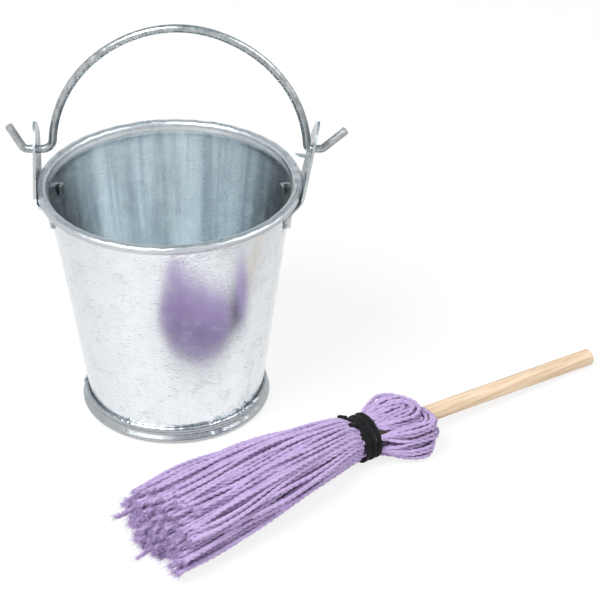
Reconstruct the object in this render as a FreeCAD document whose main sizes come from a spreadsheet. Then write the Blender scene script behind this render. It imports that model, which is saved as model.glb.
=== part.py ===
# Miniature tin bucket with a wire bail, and a small yarn mop that lies beside it.
# Millimetres, +Z up, +X along the bail's hinge axis, +Y to the back. The origin is the
# centre of the bucket's base, on the floor. The mop's own frame has its origin on the
# floor under the cord band, with +X towards the free end of the stick.
import FreeCAD, Part
import math
import os
import re

import Sketcher
from FreeCAD import Placement, Rotation, Vector

SIZES = [
    # bucket
    ("rim_radius", 26.5, "outside of the rolled rim"),
    ("rim_height", 50.8, "top of the rolled rim above the floor"),
    ("bead_radius", 1.0, "section of the rolled rim"),
    ("sheet", 0.4, "thickness of the tin sheet"),
    ("foot_radius", 17.7, "outside of the wall at its lower edge"),
    ("ring_radius", 19.4, "outside of the foot ring"),
    ("ring_height", 3.8, "top of the foot ring above the floor"),
    ("ring_bead", 1.2, "section radius of the foot ring's lower bead"),
    ("foot_land", 0.6, "width of the flat on which the foot ring stands"),
    ("ring_groove", 0.7, "depth of the groove between the ring's bead and lip"),
    ("groove_height", 2.24, "bottom of the groove above the floor"),
    ("lip_height", 2.89, "lower edge of the ring's lip above the floor"),
    ("fit", 0.06, "clearance between sheet pieces that are clinched together"),
    # ears
    ("ear_sheet", 0.45, "thickness of an ear"),
    ("ear_tip", 13.0, "ear's tip above the rim"),
    ("ear_drop", 10.6, "ear's lower point below the rim"),
    ("ear_spare", 1.0, "length of an ear's blank beyond its outline"),
    ("ear_stand_off", 0.2, "gap between the rim and an ear"),
    ("step_rise", 0.3, "start of an ear's step above its shoulders"),
    ("step_end", 1.8, "end of an ear's step below the top of the rim"),
    ("ear_narrowing", 1.0, "how much narrower half of an ear is at the hinge than at the rim"),
    ("ear_half_width", 6.0, "half of an ear's width at the rim"),
    ("shoulder_half_width", 8.6, "half of an ear's width below the rim"),
    ("shoulder_drop", 4.6, "shoulders below the rim"),
    ("lower_curve", 17.2, "curve of an ear's two lower edges"),
    ("upper_curve", 7.5, "curve of an ear's two upper edges"),
    ("right_lean", 10.0, "outward lean of the right ear, degrees"),
    ("left_lean", -3.0, "outward lean of the left ear, degrees"),
    ("prong_height", 2.4, "height of a clinched prong"),
    ("prong_tab", 1.6, "length of the part of a prong that is bent over inside"),
    ("prong_angle", 17.0, "prong from the middle of its ear, degrees about the bucket's axis"),
    # bail
    ("hinge_rise", 7.0, "hinge axis above the rim"),
    ("wire_radius", 0.8, "section of the bail's wire"),
    ("hole_clearance", 0.45, "radial clearance of the wire in an ear's hole"),
    ("bail_inset", 1.5, "how far the legs of the bail lie inside the rim, on average"),
    ("bail_shift", 2.2, "how far the bail sits off the bucket's axis"),
    ("rise_share", 1.045, "rise of the bail above the hinge axis, over half of its span"),
    ("crown_share", 0.884, "bend of the bail's top, over half of its span"),
    ("crown_angle", 21.0, "turn of the bail's top to each side, degrees"),
    ("left_bend", 2.2, "bend from the left leg into its ear"),
    ("right_bend", 1.0, "bend from the right leg into its ear"),
    ("hook_bend", 1.3, "bend of a hooked end"),
    ("hook_gap", 1.0, "straight wire between an ear and its hook's bend"),
    ("left_hook_angle", 62.0, "rise of the left hooked end, degrees"),
    ("right_hook_angle", 42.0, "rise of the right hooked end, degrees"),
    ("left_hook_length", 5.0, "straight length of the left hooked end"),
    ("right_hook_length", 5.6, "straight length of the right hooked end"),
    # mop
    ("mop_across", 38.0, "cord band from the bucket's axis, along X"),
    ("mop_front", 23.7, "cord band in front of the bucket's axis, along -Y"),
    ("mop_heading", 35.0, "direction of the stick's free end from +X, degrees"),
    ("stick_radius", 1.75, "section of the stick"),
    ("stick_reach", 60.0, "free end of the stick from the band"),
    ("stick_inside", 3.2, "stick's hidden end beyond the middle of the band"),
    ("band_gap", 0.15, "middle turn of the cord above the floor"),
    ("band_width", 4.6, "wound width of the black cord"),
    ("cord_radius", 0.5, "section of the black cord"),
    ("knot_radius", 0.9, "knot of the black cord"),
    ("cord_end", 3.4, "cut end of the black cord from its knot"),
    ("strand_radius", 0.5, "section of the yarn in the band and the head"),
    ("strand_gap", 0.05, "clearance between neighbouring yarns"),
    ("strand_bend", 4.0, "bend of the yarn where it leaves the band"),
    ("head_reach", 18.0, "folded end of the yarn from the middle of the band"),
    ("head_half_width", 5.4, "half of the head's width"),
    ("head_half_height", 4.1, "half of the head's height"),
    ("head_drift", 0.6, "how far the head sits in front of the stick"),
    ("skirt_length", 48.5, "cut ends of the yarn from the middle of the band"),
    ("skirt_half_width", 9.7, "half of the skirt's width at its cut ends"),
    ("skirt_half_height", 4.8, "half of the skirt's height at its cut ends"),
    ("core_half_width", 6.2, "half of the width of the skirt's inner legs at their cut ends"),
    ("core_half_height", 2.25, "half of the height of the skirt's inner legs at their cut ends"),
    ("outer_tip_radius", 1.15, "section of an outer leg at its cut end"),
    ("inner_tip_radius", 0.7, "section of an inner leg at its cut end"),
]

LOCKS = 14
EAR_BLANK_ANGLE = 60
STRAIGHT_TURN = 0.002
FOLD_SHARE = 0.48
CORD_TURNS = 5
CORD_END_WAYS = (Vector(-1.0, 0.8, 0.35), Vector(-1.0, -0.7, 0.2))
SKIRT_UNEVENNESS = (0.0, 1.6, -1.2, 0.7, -2.1, 1.1, -0.4)

doc = FreeCAD.newDocument("mop_and_bucket")
sheet = doc.addObject("Spreadsheet::Sheet", "Sizes")
for row, (alias, number, note) in enumerate(SIZES, start=1):
    sheet.set(f"A{row}", note)
    sheet.set(f"B{row}", str(number))
    sheet.setAlias(f"B{row}", alias)
doc.recompute()


def size(alias):
    """The number that the sheet holds under an alias."""
    return float(getattr(sheet, alias))


def number_of(expression):
    """The value of an expression in the sheet's aliases."""
    return float(sheet.evalExpression(expression))


def bound(expression):
    """The same expression as another object of the document writes it."""
    for alias, _, _ in SIZES:
        expression = re.sub(rf"(?<![\w.]){alias}(?!\w)", f"Sizes.{alias}", expression)
    return expression


# Lines that several pieces share: the wall's outside, the wall's top, an ear's lower end.
WALL_SLOPE = "(rim_radius - 2 * bead_radius + sheet / 2 - foot_radius) / (rim_height - bead_radius)"
WALL_TOP = "rim_height - bead_radius"
WALL_BOTTOM = "ring_bead + sheet"
HINGE_HEIGHT = "rim_height + hinge_rise"
HALF_SPAN = "(rim_radius - bail_inset)"
PRONG_HEIGHT = "rim_height - shoulder_drop - prong_height / 2"


def wall_outside(height):
    """The outer radius of the wall at a height, as an expression."""
    return f"(foot_radius + {WALL_SLOPE} * ({height}))"


# ---------------------------------------------------------------- sketches and bodies

def outline(body, plane, name, corners, arcs=None):
    """A closed sketch on a body's origin plane. The corners are pairs of expressions. An edge that
    is round is in arcs, by the number of the corner it starts at, with its radius and 1 where its
    centre lies to the left of the way round or -1 where it lies to the right."""
    arcs = arcs or {}
    sketch = body.newObject("Sketcher::SketchObject", name)
    role = next(item for item in body.Origin.OriginFeatures if item.Role == plane)
    sketch.AttachmentSupport = (role, [""])
    sketch.MapMode = "FlatFace"
    points = [Vector(number_of(across), number_of(up), 0) for across, up in corners]
    ends = []
    for index, start in enumerate(points):
        end = points[(index + 1) % len(points)]
        if index in arcs:
            radius, side = number_of(arcs[index][0]), arcs[index][1]
            half = (end - start) / 2
            left = Vector(-half.y, half.x, 0).normalize() * side
            centre = start + half + left * math.sqrt(radius**2 - half.Length**2)
            edge = Part.Arc(start, centre - left * radius, end)
        else:
            edge = Part.LineSegment(start, end)
        sketch.addGeometry(edge)
        forward = sketch.Geometry[index].StartPoint.distanceToPoint(start) < 1e-6
        ends.append((1, 2) if forward else (2, 1))
    for index, (across, up) in enumerate(corners):
        before = index - 1 if index else len(points) - 1
        link = Sketcher.Constraint("Coincident", before, ends[before][1], index, ends[index][0])
        sketch.addConstraint(link)
        for kind, value, text in (
            ("DistanceX", points[index].x, across),
            ("DistanceY", points[index].y, up),
        ):
            place = Sketcher.Constraint(kind, -1, 1, index, ends[index][0], value)
            number = sketch.addConstraint(place)
            sketch.setExpression(f"Constraints[{number}]", bound(text))
        if index in arcs:
            bend = Sketcher.Constraint("Radius", index, number_of(arcs[index][0]))
            number = sketch.addConstraint(bend)
            sketch.setExpression(f"Constraints[{number}]", bound(arcs[index][0]))
    return sketch


def turned(name, corners, arcs=None, angle=360):
    """A body turned about the Z axis from an outline of radius and height. Less than a full turn
    is laid out evenly to both sides of the +X axis."""
    body = doc.addObject("PartDesign::Body", name)
    sketch = outline(body, "XZ_Plane", name + "_outline", corners, arcs)
    turn = body.newObject("PartDesign::Revolution", name + "_turn")
    turn.Profile = sketch
    turn.ReferenceAxis = (sketch, ["V_Axis"])
    turn.Angle = angle
    turn.Midplane = angle < 360
    return body


def box(name, length, width, height, place):
    """A block whose sizes are expressions."""
    block = doc.addObject("Part::Box", name)
    block.setExpression("Length", bound(length))
    block.setExpression("Width", bound(width))
    block.setExpression("Height", bound(height))
    block.Placement = place
    return block


def joined(kind, name, *pieces):
    """The cut or the common of two pieces, or the fuse of several."""
    result = doc.addObject(f"Part::{kind}", name)
    if kind == "MultiFuse":
        result.Shapes = list(pieces)
    else:
        result.Base, result.Tool = pieces
    return result


def made(name, shape, place=None):
    """A piece whose shape is worked out here from the sheet's values."""
    piece = doc.addObject("Part::Feature", name)
    piece.Shape = shape
    piece.Placement = place or Placement()
    return piece


def angled(angle):
    """A placement turned about the bucket's axis."""
    return Placement(Vector(), Rotation(Vector(0, 0, 1), angle))


# ---------------------------------------------------------------- bucket

def prong_places():
    """The turns about the bucket's axis at which the four prongs stand, with each one's ear."""
    for ear_turn in (0, 180):
        for side in (-1, 1):
            yield ear_turn, side, ear_turn + side * size("prong_angle")


def bucket_wall():
    """The conical wall, with a solid bead for the rolled rim and a slit for every prong."""
    shell = turned(
        "wall_sheet",
        [
            (wall_outside(WALL_BOTTOM) + " - sheet", WALL_BOTTOM),
            (wall_outside(WALL_BOTTOM), WALL_BOTTOM),
            (wall_outside(WALL_TOP), WALL_TOP),
            (wall_outside(WALL_TOP) + " - sheet", WALL_TOP),
        ],
    )
    bead = doc.addObject("Part::Torus", "rim_bead")
    bead.setExpression("Radius1", bound("rim_radius - bead_radius"))
    bead.setExpression("Radius2", bound("bead_radius"))
    bead.setExpression("Placement.Base.z", bound(WALL_TOP))
    wall = joined("MultiFuse", "wall_and_rim", shell, bead)
    slits = []
    low = number_of(f"{PRONG_HEIGHT} - prong_height / 2 - fit")
    for _, _, angle in prong_places():
        depth = "4 * sheet + 2 * bead_radius"
        start = number_of(wall_outside(PRONG_HEIGHT) + " - 2 * sheet - bead_radius")
        corner = Vector(start, -number_of("ear_sheet / 2 + fit"), low)
        slit = box("slit", depth, "ear_sheet + 2 * fit", "prong_height + 2 * fit", Placement())
        slit.Placement = angled(angle).multiply(Placement(corner, Rotation()))
        slits.append(slit)
    return joined("Cut", "bucket_wall", wall, joined("MultiFuse", "slits", *slits))


def base_pan():
    """The recessed base, whose edge is curled down to a bead and up round the wall's foot."""
    inside = wall_outside(WALL_BOTTOM) + " + fit"
    return turned(
        "base_pan",
        [
            ("0", "ring_bead"),
            ("ring_radius - 2 * ring_bead", "ring_bead"),
            ("ring_radius - ring_bead - foot_land / 2", "0"),
            ("ring_radius - ring_bead + foot_land / 2", "0"),
            ("ring_radius", "ring_bead"),
            ("ring_radius - ring_groove", "groove_height"),
            ("ring_radius - ring_groove / 2", "lip_height"),
            (wall_outside("ring_height") + " + fit + sheet", "ring_height"),
            (wall_outside("ring_height") + " + fit", "ring_height"),
            (inside, WALL_BOTTOM),
            ("0", WALL_BOTTOM),
        ],
        {1: ("ring_bead", 1), 3: ("ring_bead", 1)},
    )


def ear(side_name, lean, turn):
    """A leaf-shaped ear: a sheet turned about the bucket's axis that lies on the wall, steps out
    round the rim and stands above it, cut to its leaf outline. Two prongs reach in through the
    wall and are bent over inside."""
    low, high = "rim_height - ear_drop - ear_spare", "rim_height + ear_tip + ear_spare"
    step, out = "rim_height - shoulder_drop + step_rise", "rim_height - step_end"
    inner = [
        (wall_outside(low) + " + fit", low),
        (wall_outside(step) + " + fit", step),
        ("rim_radius + ear_stand_off", out),
        (f"rim_radius + ear_stand_off + ({high} - ({out})) * tan({lean})", high),
    ]
    outer = [(across + " + ear_sheet", up) for across, up in reversed(inner)]
    sheet_body = turned(side_name + "_sheet", inner + outer, angle=EAR_BLANK_ANGLE)
    leaf_body = doc.addObject("PartDesign::Body", side_name + "_leaf")
    shoulder = "rim_height - shoulder_drop"
    half = [
        ("shoulder_half_width", shoulder),
        ("ear_half_width", "rim_height - bead_radius"),
        ("ear_half_width - ear_narrowing", HINGE_HEIGHT),
    ]
    corners = [("0", "rim_height - ear_drop"), *half, ("0", "rim_height + ear_tip")]
    corners += [(f"-({across})", up) for across, up in reversed(half)]
    lower_curve, upper_curve = ("lower_curve", 1), ("upper_curve", 1)
    rounds = {0: lower_curve, 7: lower_curve, 3: upper_curve, 4: upper_curve}
    sketch = outline(leaf_body, "YZ_Plane", side_name + "_leaf_outline", corners, rounds)
    pad = leaf_body.newObject("PartDesign::Pad", side_name + "_leaf_pad")
    pad.Profile = sketch
    pad.setExpression("Length", bound("rim_radius + ear_tip"))
    blank = joined("Common", side_name + "_blank", sheet_body, leaf_body)
    hole = doc.addObject("Part::Cylinder", side_name + "_hole")
    hole.setExpression("Radius", bound("wire_radius + hole_clearance"))
    hole.setExpression("Height", bound("rim_radius + ear_tip"))
    hole.Placement = Placement(Vector(), Rotation(Vector(0, 1, 0), 90))
    hole.setExpression("Placement.Base.z", bound(HINGE_HEIGHT))
    pieces = [joined("Cut", side_name + "_pierced", blank, hole)]
    middle = number_of(PRONG_HEIGHT)
    low_edge = middle - size("prong_height") / 2
    tab_face = number_of(wall_outside(str(low_edge)) + " - sheet") - 3 * size("fit")
    for ear_turn, side, _ in prong_places():
        if ear_turn:
            continue
        start = tab_face - size("ear_sheet")
        length = f"{wall_outside(PRONG_HEIGHT)} + fit + ear_sheet / 2 - {start}"
        half_sheet = size("ear_sheet") / 2
        frame = angled(side * size("prong_angle"))
        prong = box(side_name + "_prong", length, "ear_sheet", "prong_height", Placement())
        prong.Placement = frame.multiply(Placement(Vector(start, -half_sheet, low_edge), Rotation()))
        tab = box(side_name + "_tab", "ear_sheet", "prong_tab", "prong_height", Placement())
        inward = -half_sheet if side < 0 else half_sheet - size("prong_tab")
        tab.Placement = frame.multiply(Placement(Vector(start, inward, low_edge), Rotation()))
        pieces += [prong, tab]
    result = joined("MultiFuse", side_name, *pieces)
    result.Placement = angled(turn)
    return result


# ---------------------------------------------------------------- bail

def walked(start, heading, moves):
    """The edges of a path in the XZ plane, made of straight runs and of arcs that follow on from
    each other. A move is ("run", length) or ("bend", radius, turn), with the turn in degrees and
    positive to the left of the way along."""
    edges, here, way = [], start, math.radians(heading)
    for kind, reach, *turn in moves:
        along = Vector(math.cos(way), 0, math.sin(way))
        if kind == "run":
            there = here + along * reach
            edges.append(Part.makeLine(here, there))
        else:
            angle = math.radians(turn[0])
            left = Vector(-along.z, 0, along.x) * math.copysign(1, angle)
            centre = here + left * reach
            points = []
            for part in (0.5, 1.0):
                swing = Rotation(Vector(0, -1, 0), math.degrees(angle * part))
                points.append(centre + swing.multVec(here - centre))
            there = points[1]
            edges.append(Part.Arc(here, points[0], there).toShape())
            way += angle
        here = there
    return edges, here, math.degrees(way)


def bail_side(side, bend, hook_angle, hook_length, lean):
    """Half of the bail's centre line, from the middle of its top to a hooked end. Side is 1 for
    the right half and -1 for the left one, whose path is the mirror image."""
    half_span, rise = number_of(HALF_SPAN), number_of(f"{HALF_SPAN} * rise_share")
    crown, crown_turn = half_span * size("crown_share"), size("crown_angle")
    turn_sine = math.sin(math.radians(crown_turn))
    flank = (half_span - crown * turn_sine) / (1 - turn_sine)
    flank_drop = crown + (flank - crown) * math.cos(math.radians(crown_turn))
    over = flank_drop + bend - rise
    leaving = math.degrees(math.asin(max(over, 0) / (flank + bend)))
    moves = [("bend", crown, -crown_turn), ("bend", flank, crown_turn + leaving - 90)]
    if over < 0:
        moves.append(("run", -over))
    moves.append(("bend", bend, 90 - leaving))
    ear_face = size("rim_radius") + size("ear_stand_off") + size("ear_sheet")
    ear_face += (size("hinge_rise") + size("step_end")) * math.tan(math.radians(lean))
    start = Vector(0, 0, number_of(HINGE_HEIGHT) + rise)
    _, here, _ = walked(start, 0, moves)
    shift = size("bail_shift") * side
    moves.append(("run", ear_face + size("hook_gap") - here.x - shift))
    moves += [("bend", size("hook_bend"), hook_angle), ("run", hook_length)]
    edges, _, _ = walked(start, 0, moves)
    return edges


def bail():
    """The wire, swept along both halves of its centre line."""
    halves = []
    for side, name in ((1, "right"), (-1, "left")):
        edges = bail_side(
            side,
            size(name + "_bend"),
            size(name + "_hook_angle"),
            size(name + "_hook_length"),
            size(name + "_lean"),
        )
        start = edges[0].valueAt(edges[0].FirstParameter)
        ring = Part.Wire(Part.makeCircle(size("wire_radius"), start, Vector(1, 0, 0)))
        half = Part.Wire(edges).makePipeShell([ring], True, False)
        if side < 0:
            half = half.mirror(Vector(), Vector(1, 0, 0))
        halves.append(half)
    wire = halves[0].fuse(halves[1]).removeSplitter()
    return made("bail", wire, Placement(Vector(size("bail_shift"), 0, 0), Rotation()))


# ---------------------------------------------------------------- mop

def mop_place():
    """Where the mop's own frame lies."""
    spot = Vector(size("mop_across"), -size("mop_front"), 0)
    return Placement(spot, Rotation(Vector(0, 0, 1), size("mop_heading")))


def yarn_ring():
    """The distance from the stick's axis of the inner and outer legs of yarn in the band. The
    inner legs lie on the stick, or side by side where they fill the ring."""
    strand, gap = size("strand_radius"), size("strand_gap")
    side_by_side = (strand + gap / 2) / math.sin(math.pi / LOCKS)
    inner = max(size("stick_radius") + gap + strand, side_by_side)
    return inner, inner + 2 * strand + gap


def winding_radius():
    """The distance from the stick's axis of the centre line of the cord's turns."""
    return yarn_ring()[1] + size("strand_radius") + size("strand_gap") + size("cord_radius")


def band_level():
    """The height of the stick's axis at the band, whose cord lies on the floor."""
    return winding_radius() + size("cord_radius") + size("band_gap")


def stick_slope():
    """How far the stick falls from the band to its free end, in degrees."""
    fall = band_level() - size("stick_radius")
    return math.degrees(math.asin(fall / size("stick_reach")))


def stick_level(along):
    """The height of the stick's axis at a distance from the band."""
    return band_level() - along * math.tan(math.radians(stick_slope()))


def stick():
    """The dowel: its free end rests on the floor, its other end is hidden in the yarn."""
    dowel = doc.addObject("Part::Cylinder", "stick")
    dowel.setExpression("Radius", bound("stick_radius"))
    dowel.setExpression("Height", bound("stick_reach + stick_inside"))
    inner = -size("stick_inside")
    start = Vector(inner, 0, stick_level(inner))
    along = Rotation(Vector(0, 1, 0), 90 + stick_slope())
    dowel.Placement = mop_place().multiply(Placement(start, along))
    return dowel


def band_cord():
    """The cord: turns wound side by side round the yarn, a knot on top and two cut ends."""
    across = winding_radius()
    pitch = (size("band_width") - 2 * size("cord_radius")) / (CORD_TURNS - 1)
    turns = []
    for index in range(CORD_TURNS):
        along = (index - (CORD_TURNS - 1) / 2) * pitch
        centre = Vector(along, 0, stick_level(along))
        turns.append(Part.makeTorus(across, size("cord_radius"), centre, Vector(1, 0, 0)))
    knot = Vector(0, 0, band_level() + across + size("cord_radius"))
    turns.append(Part.makeSphere(size("knot_radius"), knot))
    for way in CORD_END_WAYS:
        turns.append(Part.makeCylinder(size("cord_radius"), size("cord_end"), knot, way))
    cord = turns[0].multiFuse(turns[1:]).removeSplitter()
    return made("band_cord", cord, mop_place())


def rounded(points, bends):
    """A wire through points, each inner one rounded by an arc of its bend radius. A corner that
    hardly turns stays in its straight run."""
    edges, here = [], points[0]
    for before, corner, after, bend in zip(points, points[1:], points[2:], bends):
        back, onward = (before - corner).normalize(), (after - corner).normalize()
        turn = math.pi - back.getAngle(onward)
        if turn < STRAIGHT_TURN:
            continue
        reach = bend * math.tan(turn / 2)
        first, last = corner + back * reach, corner + onward * reach
        middle = (back + onward).normalize()
        centre = corner + middle * (bend / math.cos(turn / 2))
        if here.distanceToPoint(first) > 1e-6:
            edges.append(Part.makeLine(here, first))
        edges.append(Part.Arc(first, centre - middle * bend, last).toShape())
        here = last
    edges.append(Part.makeLine(here, points[-1]))
    return Part.Wire(edges)


def even_angles(half_width, half_height, count):
    """Angles of an ellipse at which points lie evenly along it, the first one at its side."""
    steps = 720
    lengths = [0.0]
    for step in range(steps):
        angle = math.tau * (step + 0.5) / steps
        stretch = math.hypot(half_width * math.sin(angle), half_height * math.cos(angle))
        lengths.append(lengths[-1] + stretch * math.tau / steps)
    angles = []
    for index in range(count):
        wanted = lengths[-1] * index / count
        step = next(number for number, length in enumerate(lengths) if length >= wanted)
        angles.append(math.tau * step / steps)
    return angles


def leg_tip(index, half_width, half_height, radius):
    """The middle of the cut end of a leg of the skirt, in the mop's frame."""
    across, up = half_width - radius, half_height - radius
    angle = even_angles(across, up, LOCKS)[index]
    reach = size("skirt_length") + SKIRT_UNEVENNESS[index % len(SKIRT_UNEVENNESS)]
    level = size("skirt_half_height") + size("strand_gap")
    return Vector(-reach, across * math.cos(angle), level + up * math.sin(angle))


def yarn_lock(index):
    """A lock of yarn: folded over at the head, both legs through the band and down the skirt,
    where each spreads to a cut end."""
    strand, gap = size("strand_radius"), size("strand_gap")
    angle = math.tau * index / LOCKS
    inner, outer = yarn_ring()
    band_end = size("band_width") / 2 + gap
    fold = size("head_reach") - strand
    middle = size("head_reach") / 2

    def ring_point(distance, along):
        up = stick_level(along) + distance * math.sin(angle)
        return Vector(along, distance * math.cos(angle), up)

    def head_point(along):
        across = (size("head_half_width") - strand) * math.cos(angle) - size("head_drift")
        level = max(stick_level(along), size("head_half_height") + gap)
        return Vector(along, across, level + (size("head_half_height") - strand) * math.sin(angle))

    outer_tip = leg_tip(
        index, size("skirt_half_width"), size("skirt_half_height"), size("outer_tip_radius")
    )
    inner_tip = leg_tip(
        index, size("core_half_width"), size("core_half_height"), size("inner_tip_radius")
    )
    outer_edge, inner_edge = ring_point(outer, -band_end), ring_point(inner, -band_end)
    outer_run = outer_edge + (outer_tip - outer_edge).normalize() * size("strand_bend") / 2
    inner_run = inner_edge + (inner_tip - inner_edge).normalize() * size("strand_bend") / 2
    outer_fold, inner_fold = head_point(fold), ring_point(inner, fold)
    fold_bend = outer_fold.distanceToPoint(inner_fold) * FOLD_SHARE
    gentle = size("strand_bend")
    path = rounded(
        [
            outer_run,
            outer_edge,
            ring_point(outer, band_end),
            head_point(middle),
            outer_fold,
            inner_fold,
            inner_edge,
            inner_run,
        ],
        [gentle, gentle, gentle, fold_bend, fold_bend, gentle],
    )
    start = (outer_edge - outer_run).normalize()
    ring = Part.Face(Part.Wire(Part.makeCircle(strand, outer_run, start)))
    yarn = path.makePipe(ring)
    legs = []
    for run, tip, radius in (
        (outer_run, outer_tip, size("outer_tip_radius")),
        (inner_run, inner_tip, size("inner_tip_radius")),
    ):
        legs.append(Part.makeCone(strand, radius, run.distanceToPoint(tip), run, tip - run))
    lock = yarn.fuse(legs)
    return made(f"yarn_lock_{index + 1:02d}", lock, mop_place())


# ---------------------------------------------------------------- assembly and files

def write(pieces):
    """Checks the document and every piece, then writes one file for each piece."""
    doc.recompute()
    for item in doc.Objects:
        if "Invalid" in item.State or "Error" in item.State:
            raise RuntimeError(f"{item.Label} failed: {item.State}")
    os.makedirs("parts", exist_ok=True)
    for piece in pieces:
        if piece.Shape.isNull() or not piece.Shape.isValid():
            raise RuntimeError(f"{piece.Label} has no valid shape")
    for piece in pieces:
        piece.Shape.exportStep(f"parts/{piece.Label}.step")
        print(piece.Label, len(piece.Shape.Solids), round(piece.Shape.Volume, 2))


write([
    bucket_wall(),
    base_pan(),
    ear("right_ear", "right_lean", 0),
    ear("left_ear", "left_lean", 180),
    bail(),
    stick(),
    band_cord(),
    *[yarn_lock(index) for index in range(LOCKS)],
])
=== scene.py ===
import math

import bpy
import numpy as np
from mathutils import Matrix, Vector


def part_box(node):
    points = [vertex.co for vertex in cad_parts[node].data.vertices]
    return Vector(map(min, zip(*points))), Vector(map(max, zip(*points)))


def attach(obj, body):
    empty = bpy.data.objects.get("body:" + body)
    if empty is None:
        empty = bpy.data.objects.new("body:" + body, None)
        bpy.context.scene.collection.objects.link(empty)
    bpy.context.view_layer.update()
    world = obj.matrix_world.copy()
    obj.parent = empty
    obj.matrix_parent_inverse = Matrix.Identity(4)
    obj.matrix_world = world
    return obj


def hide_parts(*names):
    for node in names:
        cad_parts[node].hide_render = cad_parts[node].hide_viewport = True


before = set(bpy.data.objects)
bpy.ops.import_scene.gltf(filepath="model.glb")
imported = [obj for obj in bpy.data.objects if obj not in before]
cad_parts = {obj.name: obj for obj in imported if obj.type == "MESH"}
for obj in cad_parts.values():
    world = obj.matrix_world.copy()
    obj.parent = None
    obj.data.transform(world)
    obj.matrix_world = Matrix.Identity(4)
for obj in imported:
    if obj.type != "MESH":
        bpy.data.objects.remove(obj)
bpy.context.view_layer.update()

MM = 0.001
rng = np.random.default_rng(7)

# ---------------------------------------------------------------- sizes from the frame

RIM_RADIUS, _, RIM_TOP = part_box("bucket_wall")[1]
BEAD = 1.0 * MM
SHEET = 0.4 * MM
FOOT_RADIUS = 17.7 * MM
RING_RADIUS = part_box("base_pan")[1][0]
RING_TOP = 3.8 * MM
RING_BEAD = 1.2 * MM
FLOOR_TOP = 1.6 * MM
HINGE_Z = 57.8 * MM
# the radius at which the sheet coordinates of the bucket's pieces are unrolled
SHEET_RADIUS = RIM_RADIUS * 0.85


def stick_ends():
    """The inner and the free end of the stick's axis, from the CAD stick."""
    points = np.array([v.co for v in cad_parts["stick"].data.vertices])
    middle = points.mean(axis=0)
    along = np.linalg.svd(points - middle, full_matrices=False)[2][0]
    along *= np.sign(along[0])
    reach = (points - middle) @ along
    return middle + along * reach.min(), middle + along * reach.max()


STICK_INNER, STICK_OUTER = stick_ends()
STICK_REACH = 60.0 * MM
STICK_HEADING = math.atan2(STICK_OUTER[1] - STICK_INNER[1], STICK_OUTER[0] - STICK_INNER[0])
STICK_LENGTH = np.linalg.norm(STICK_OUTER - STICK_INNER)
BAND_SPOT = STICK_OUTER + (STICK_INNER - STICK_OUTER) * STICK_REACH / STICK_LENGTH


def mop_to_world(points):
    """Points of the mop's own frame (X to the stick's free end, origin on the floor under the band)
    in the frame that everything shares."""
    cosine, sine = math.cos(STICK_HEADING), math.sin(STICK_HEADING)
    points = np.asarray(points, float)
    world = np.empty_like(points)
    world[..., 0] = BAND_SPOT[0] + cosine * points[..., 0] - sine * points[..., 1]
    world[..., 1] = BAND_SPOT[1] + sine * points[..., 0] + cosine * points[..., 1]
    world[..., 2] = points[..., 2]
    return world


def stick_level(along):
    """The height of the stick's axis at a distance from the band."""
    fall = (BAND_SPOT[2] - STICK_OUTER[2]) / STICK_REACH
    return BAND_SPOT[2] - along * fall


# ---------------------------------------------------------------- mesh helpers

# what is left of a tube's radius where its end closes
CLOSED = 0.02
# how far a ply's axis lies from its yarn's, and a ply's own radius, over the yarn's radius
PLY_OFFSET, PLY_RADIUS = 0.33, 0.69


class Build:
    """Collects vertices and faces of one piece, then makes its object."""

    def __init__(self):
        self.points, self.quads, self.places, self.count = [], [], [], 0

    def add(self, points, quads, places=None):
        points = np.asarray(points, float)
        self.points.append(points)
        self.quads.append(np.asarray(quads, int) + self.count)
        blank = np.zeros((len(points), 2))
        self.places.append(blank if places is None else np.asarray(places, float))
        self.count += len(points)

    def make(self, name, material, body, slot, others=(), kinds=None):
        points = np.concatenate(self.points)
        quads = np.concatenate(self.quads)
        places = np.concatenate(self.places)
        mesh = bpy.data.meshes.new(name)
        mesh.from_pydata(points.tolist(), [], quads.tolist())
        layer = mesh.uv_layers.new(name="sheet")
        corners = np.empty(len(mesh.loops), int)
        mesh.loops.foreach_get("vertex_index", corners)
        layer.data.foreach_set("uv", places[corners].ravel())
        mesh.polygons.foreach_set("use_smooth", [True] * len(mesh.polygons))
        for layer_material in (material, *others):
            mesh.materials.append(layer_material)
        if kinds is not None:
            mesh.polygons.foreach_set("material_index", kinds)
        mesh.update()
        piece = bpy.data.objects.new(name, mesh)
        bpy.context.scene.collection.objects.link(piece)
        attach(piece, body)
        return piece


def grid_quads(rows, columns, closed_rows=False):
    """Faces of a grid of points, row by row, whose last column joins its first."""
    last_row = rows if closed_rows else rows - 1
    row, column = np.meshgrid(np.arange(last_row), np.arange(columns), indexing="ij")
    next_row, next_column = (row + 1) % rows, (column + 1) % columns
    corners = [
        row * columns + column,
        row * columns + next_column,
        next_row * columns + next_column,
        next_row * columns + column,
    ]
    return np.stack(corners, axis=-1).reshape(-1, 4)


def smoothed(points, spacing):
    """A Catmull-Rom curve through points, sampled about every spacing."""
    points = np.asarray(points, float)
    padded = np.vstack([2 * points[0] - points[1], points, 2 * points[-1] - points[-2]])
    pieces = []
    for index in range(len(points) - 1):
        before, start, end, after = padded[index : index + 4]
        steps = max(2, int(np.linalg.norm(end - start) / spacing))
        t = np.linspace(0, 1, steps, endpoint=False)[:, None]
        pieces.append(
            0.5
            * (
                2 * start
                + (end - before) * t
                + (2 * before - 5 * start + 4 * end - after) * t**2
                + (3 * start - before - 3 * end + after) * t**3
            )
        )
    pieces.append(points[-1:])
    return np.concatenate(pieces)


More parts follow.
